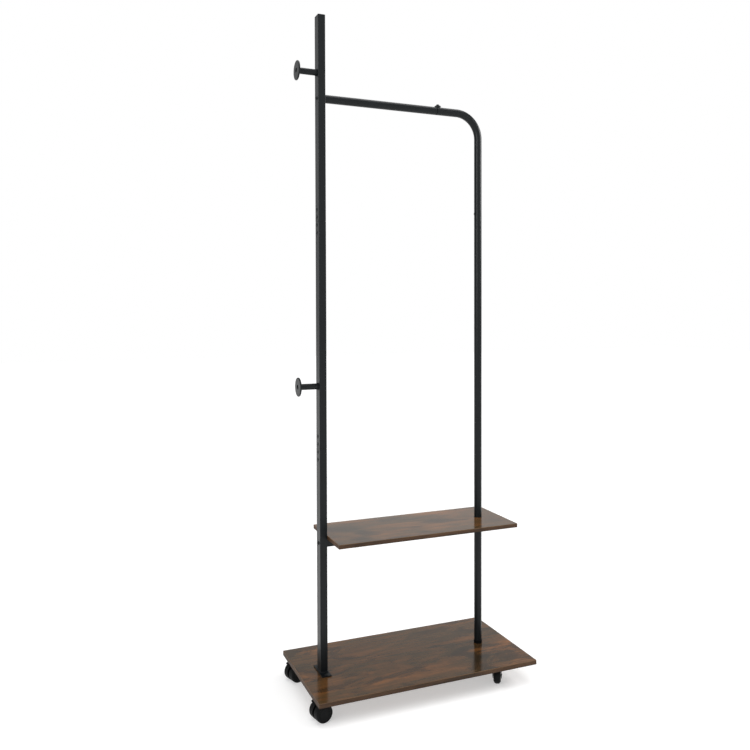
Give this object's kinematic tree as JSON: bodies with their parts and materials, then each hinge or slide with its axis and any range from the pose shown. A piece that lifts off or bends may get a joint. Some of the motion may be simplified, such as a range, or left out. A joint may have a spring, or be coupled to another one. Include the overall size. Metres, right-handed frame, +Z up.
{
  "type": "rolling clothes rack",
  "caption": "Rolling clothes rack: square steel post with coat pegs, round tube bent over into a hanging rail, small shelf and wood-look base board on swivel casters.",
  "frame": {"origin": "on the floor, under the middle of the base board", "axes": "+X along the hanging rail, from the square post to the round post; +Y to the back; +Z up"},
  "size_m": [0.6075, 0.312, 1.7195],
  "materials": {
    "laminate_board": "gloss",
    "edge_band": "satin",
    "black_steel": "satin",
    "zinc_steel": "satin",
    "black_plastic": "matte",
    "wheel_plastic": "matte"
  },
  "bodies": {
    "rack": {"base_board": "laminate_board", "shelf_board": "laminate_board", "base_edge_band": "edge_band", "shelf_edge_band": "edge_band", "post_foot_plate": "black_steel", "foot_plate_screws": "black_steel", "post_lower": "black_steel", "post_middle": "black_steel", "post_upper": "black_steel", "post_joint_screws": "black_steel", "tube_lower": "black_steel", "tube_middle": "black_steel", "bend_tube": "black_steel", "tube_joint_screw": "black_steel", "hanging_rail": "black_steel", "rail_saddle_washer": "black_steel", "rail_joint_screw": "black_steel", "rail_end_bolt": "black_steel", "support_bar": "black_steel", "bar_bolts": "black_steel", "shelf_screws": "black_steel", "upper_peg_stem": "black_steel", "upper_peg_disc": "black_steel", "lower_peg_stem": "black_steel", "lower_peg_disc": "black_steel", "peg_rings": "black_steel", "caster_plates": "black_steel", "peg_bolts": "black_steel", "post_joiner_lower": "black_steel", "post_joiner_upper": "black_steel", "tube_joiner_lower": "black_steel", "tube_joiner_upper": "black_steel", "rail_joiner": "black_steel", "tube_foot_plug": "zinc_steel", "tube_foot_bolt": "zinc_steel", "tube_foot_washer": "zinc_steel", "rail_end_plug": "zinc_steel", "bar_end_plugs": "zinc_steel", "peg_rivet_nuts": "zinc_steel", "caster_plate_screws": "zinc_steel", "caster_kingpins": "zinc_steel", "post_top_cap": "black_plastic", "tube_foot_collar": "black_plastic"},
    "front_left_caster": {"front_left_hood": "black_plastic", "front_left_axle": "zinc_steel"},
    "front_left_wheel_front_body": {"front_left_wheel_front": "wheel_plastic"},
    "front_left_wheel_back_body": {"front_left_wheel_back": "wheel_plastic"},
    "front_right_caster": {"front_right_fork": "black_plastic", "front_right_axle": "zinc_steel"},
    "front_right_wheel_body": {"front_right_wheel": "wheel_plastic"},
    "back_left_caster": {"back_left_hood": "black_plastic", "back_left_axle": "zinc_steel"},
    "back_left_wheel_front_body": {"back_left_wheel_front": "wheel_plastic"},
    "back_left_wheel_back_body": {"back_left_wheel_back": "wheel_plastic"},
    "back_right_caster": {"back_right_fork": "black_plastic", "back_right_axle": "zinc_steel"},
    "back_right_wheel_body": {"back_right_wheel": "wheel_plastic"}
  },
  "joints": [
    {"name": "front_left_swivel", "type": "hinge", "parent": "rack", "child": "front_left_caster", "pos_m": [-0.267, -0.11, 0.042], "axis": [0, 0, 1], "continuous": true},
    {"name": "front_left_wheel_front_spin", "type": "hinge", "parent": "front_left_caster", "child": "front_left_wheel_front_body", "pos_m": [-0.28167, -0.11312, 0.022], "axis": [-0.2079, 0.9781, 0], "continuous": true},
    {"name": "front_left_wheel_back_spin", "type": "hinge", "parent": "front_left_caster", "child": "front_left_wheel_back_body", "pos_m": [-0.28167, -0.11312, 0.022], "axis": [-0.2079, 0.9781, 0], "continuous": true},
    {"name": "front_right_swivel", "type": "hinge", "parent": "rack", "child": "front_right_caster", "pos_m": [0.2135, -0.102, 0.042], "axis": [0, 0, 1], "continuous": true},
    {"name": "front_right_wheel_spin", "type": "hinge", "parent": "front_right_caster", "child": "front_right_wheel_body", "pos_m": [0.20566, -0.11479, 0.021], "axis": [-0.8526, 0.5225, 0], "continuous": true},
    {"name": "back_left_swivel", "type": "hinge", "parent": "rack", "child": "back_left_caster", "pos_m": [-0.267, 0.11, 0.042], "axis": [0, 0, 1], "continuous": true},
    {"name": "back_left_wheel_front_spin", "type": "hinge", "parent": "back_left_caster", "child": "back_left_wheel_front_body", "pos_m": [-0.28135, 0.10561, 0.022], "axis": [-0.2924, 0.9563, 0], "continuous": true},
    {"name": "back_left_wheel_back_spin", "type": "hinge", "parent": "back_left_caster", "child": "back_left_wheel_back_body", "pos_m": [-0.28135, 0.10561, 0.022], "axis": [-0.2924, 0.9563, 0], "continuous": true},
    {"name": "back_right_swivel", "type": "hinge", "parent": "rack", "child": "back_right_caster", "pos_m": [0.2135, 0.102, 0.042], "axis": [0, 0, 1], "continuous": true},
    {"name": "back_right_wheel_spin", "type": "hinge", "parent": "back_right_caster", "child": "back_right_wheel_body", "pos_m": [0.20346, 0.09085, 0.021], "axis": [-0.7431, 0.6691, 0], "continuous": true}
  ]
}
